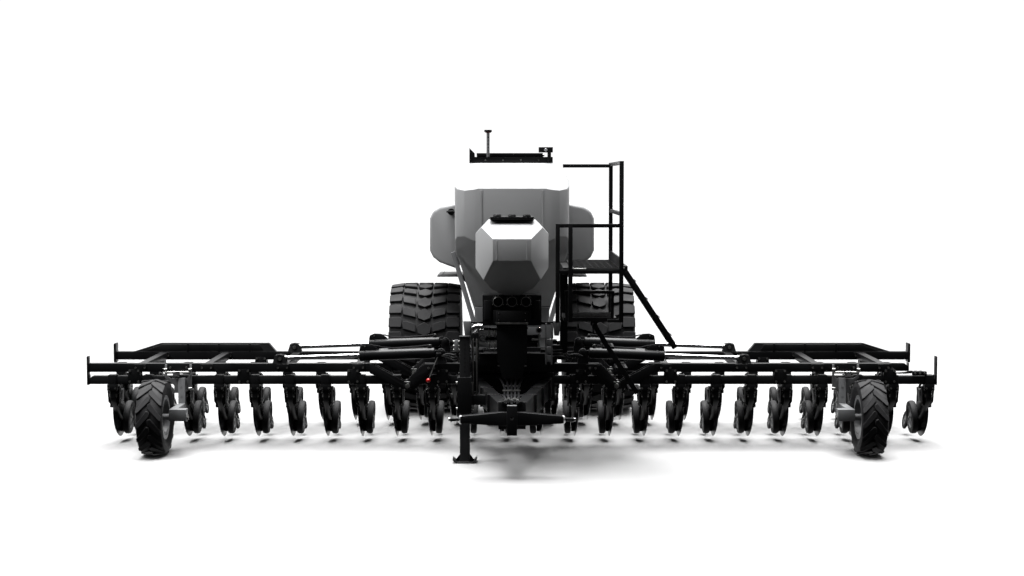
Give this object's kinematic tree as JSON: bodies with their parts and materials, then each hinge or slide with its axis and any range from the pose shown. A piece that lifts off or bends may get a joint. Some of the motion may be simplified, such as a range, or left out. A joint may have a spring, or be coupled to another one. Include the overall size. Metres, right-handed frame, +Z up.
{
  "type": "trailed seed drill",
  "caption": "Wide trailed pneumatic seed drill with fold-up wings, disc openers in two rows, faceted tanks, access platform, jack and transport wheels.",
  "frame": {"origin": "on the floor under the middle of the drill's box", "axes": "+Z up, the hitch points to -Y, +X is the drill's left side"},
  "size_m": [8.97, 6.1, 3.385],
  "materials": {
    "black_paint": "semi-gloss near-black paint",
    "grey_paint": "satin light grey paint",
    "tank_plastic": "moulded light grey plastic",
    "rubber": "black tyre rubber",
    "chrome": "hard chrome rod",
    "stainless": "bright stainless tube"
  },
  "bodies": {
    "chassis": {"centre_front_openers": "black_paint", "centre_rear_openers": "black_paint", "drawbar": "black_paint", "fan": "black_paint", "front_metering_unit": "black_paint", "front_tank": "tank_plastic", "hatch_coaming": "black_paint", "hitch_crossbar": "black_paint", "jack_collar": "black_paint", "ladder_pin": "black_paint", "main_frame": "black_paint", "main_tank": "tank_plastic", "platform": "black_paint", "rear_axle": "black_paint", "rear_metering_unit": "black_paint", "side_tank_left": "tank_plastic", "side_tank_right": "tank_plastic", "steel_air_duct": "stainless", "tank_frame": "grey_paint", "upper_ladder": "black_paint"},
    "jack_leg": {"jack_leg": "black_paint"},
    "lower_ladder": {"lower_ladder": "black_paint"},
    "main_tank_lid": {"main_tank_lid": "black_paint"},
    "front_tank_lid": {"front_tank_lid": "black_paint"},
    "wing_left": {"wing_left_frame": "black_paint", "wing_left_front_openers": "black_paint", "wing_left_rear_openers": "black_paint", "wing_left_wheel_bracket": "grey_paint"},
    "wing_wheel_left": {"wing_wheel_left_tyre": "rubber", "wing_wheel_left_rim": "grey_paint"},
    "main_wheel_left": {"main_wheel_left_tyre": "rubber", "main_wheel_left_rim": "grey_paint"},
    "front_cylinder_left_barrel": {"front_cylinder_left_barrel": "black_paint"},
    "front_cylinder_left_rod": {"front_cylinder_left_rod": "chrome"},
    "rear_cylinder_left_barrel": {"rear_cylinder_left_barrel": "black_paint"},
    "rear_cylinder_left_rod": {"rear_cylinder_left_rod": "chrome"},
    "wing_right": {"wing_right_frame": "black_paint", "wing_right_front_openers": "black_paint", "wing_right_rear_openers": "black_paint", "wing_right_wheel_bracket": "grey_paint"},
    "wing_wheel_right": {"wing_wheel_right_tyre": "rubber", "wing_wheel_right_rim": "grey_paint"},
    "main_wheel_right": {"main_wheel_right_tyre": "rubber", "main_wheel_right_rim": "grey_paint"},
    "front_cylinder_right_barrel": {"front_cylinder_right_barrel": "black_paint"},
    "front_cylinder_right_rod": {"front_cylinder_right_rod": "chrome"},
    "rear_cylinder_right_barrel": {"rear_cylinder_right_barrel": "black_paint"},
    "rear_cylinder_right_rod": {"rear_cylinder_right_rod": "chrome"}
  },
  "joints": [
    {"name": "wing_left_fold", "type": "hinge", "parent": "chassis", "child": "wing_left", "pos_m": [1.1, -0.88, 0.66], "axis": [0, -1, 0], "range_deg": [0, 85]},
    {"name": "wing_wheel_left_spin", "type": "hinge", "parent": "wing_left", "child": "wing_wheel_left", "pos_m": [3.665, -1.45, 0.39], "axis": [1, 0, 0], "continuous": true},
    {"name": "main_wheel_left_spin", "type": "hinge", "parent": "chassis", "child": "main_wheel_left", "pos_m": [1.05, 2.27, 0.78], "axis": [1, 0, 0], "continuous": true},
    {"name": "front_cylinder_left_turn", "type": "hinge", "parent": "chassis", "child": "front_cylinder_left_barrel", "pos_m": [0.75, -0.88, 1], "axis": [0, -1, 0], "range_deg": [0, 82]},
    {"name": "front_cylinder_left_stroke", "type": "slide", "parent": "front_cylinder_left_barrel", "child": "front_cylinder_left_rod", "axis": [0.9994, 0, -0.0353], "range_m": [-0.66, 0]},
    {"name": "rear_cylinder_left_turn", "type": "hinge", "parent": "chassis", "child": "rear_cylinder_left_barrel", "pos_m": [0.75, 0.42, 1], "axis": [0, -1, 0], "range_deg": [0, 82]},
    {"name": "rear_cylinder_left_stroke", "type": "slide", "parent": "rear_cylinder_left_barrel", "child": "rear_cylinder_left_rod", "axis": [0.9994, 0, -0.0353], "range_m": [-0.66, 0]},
    {"name": "wing_right_fold", "type": "hinge", "parent": "chassis", "child": "wing_right", "pos_m": [-1.1, -0.88, 0.66], "axis": [0, 1, 0], "range_deg": [0, 85]},
    {"name": "wing_wheel_right_spin", "type": "hinge", "parent": "wing_right", "child": "wing_wheel_right", "pos_m": [-3.665, -1.45, 0.39], "axis": [1, 0, 0], "continuous": true},
    {"name": "main_wheel_right_spin", "type": "hinge", "parent": "chassis", "child": "main_wheel_right", "pos_m": [-1.05, 2.27, 0.78], "axis": [1, 0, 0], "continuous": true},
    {"name": "front_cylinder_right_turn", "type": "hinge", "parent": "chassis", "child": "front_cylinder_right_barrel", "pos_m": [-0.75, -0.88, 1], "axis": [0, 1, 0], "range_deg": [0, 82]},
    {"name": "front_cylinder_right_stroke", "type": "slide", "parent": "front_cylinder_right_barrel", "child": "front_cylinder_right_rod", "axis": [-0.9994, 0, -0.0353], "range_m": [-0.66, 0]},
    {"name": "rear_cylinder_right_turn", "type": "hinge", "parent": "chassis", "child": "rear_cylinder_right_barrel", "pos_m": [-0.75, 0.42, 1], "axis": [0, 1, 0], "range_deg": [0, 82]},
    {"name": "rear_cylinder_right_stroke", "type": "slide", "parent": "rear_cylinder_right_barrel", "child": "rear_cylinder_right_rod", "axis": [-0.9994, 0, -0.0353], "range_m": [-0.66, 0]},
    {"name": "jack_slide", "type": "slide", "parent": "chassis", "child": "jack_leg", "axis": [0, 0, 1], "range_m": [0, 0.35]},
    {"name": "lower_ladder_fold", "type": "hinge", "parent": "chassis", "child": "lower_ladder", "pos_m": [0.84, -1.65, 1.34], "axis": [0, -1, 0], "range_deg": [0, 45]},
    {"name": "main_tank_lid_hinge", "type": "hinge", "parent": "chassis", "child": "main_tank_lid", "pos_m": [-0.41, 0.61, 3.105], "axis": [0, -1, 0], "range_deg": [0, 100]},
    {"name": "front_tank_lid_hinge", "type": "hinge", "parent": "chassis", "child": "front_tank_lid", "pos_m": [0, -1.3, 2.4203], "axis": [-1, 0, 0], "range_deg": [0, 100]}
  ],
  "couplings": [
    {"joint": "front_cylinder_left_turn", "follows": "wing_left_fold", "ratio": 0.96037},
    {"joint": "front_cylinder_left_stroke", "follows": "wing_left_fold", "m_per_rad": -0.44127},
    {"joint": "rear_cylinder_left_turn", "follows": "wing_left_fold", "ratio": 0.96037},
    {"joint": "rear_cylinder_left_stroke", "follows": "wing_left_fold", "m_per_rad": -0.44127},
    {"joint": "front_cylinder_right_turn", "follows": "wing_right_fold", "ratio": 0.96037},
    {"joint": "front_cylinder_right_stroke", "follows": "wing_right_fold", "m_per_rad": -0.44127},
    {"joint": "rear_cylinder_right_turn", "follows": "wing_right_fold", "ratio": 0.96037},
    {"joint": "rear_cylinder_right_stroke", "follows": "wing_right_fold", "m_per_rad": -0.44127}
  ]
}
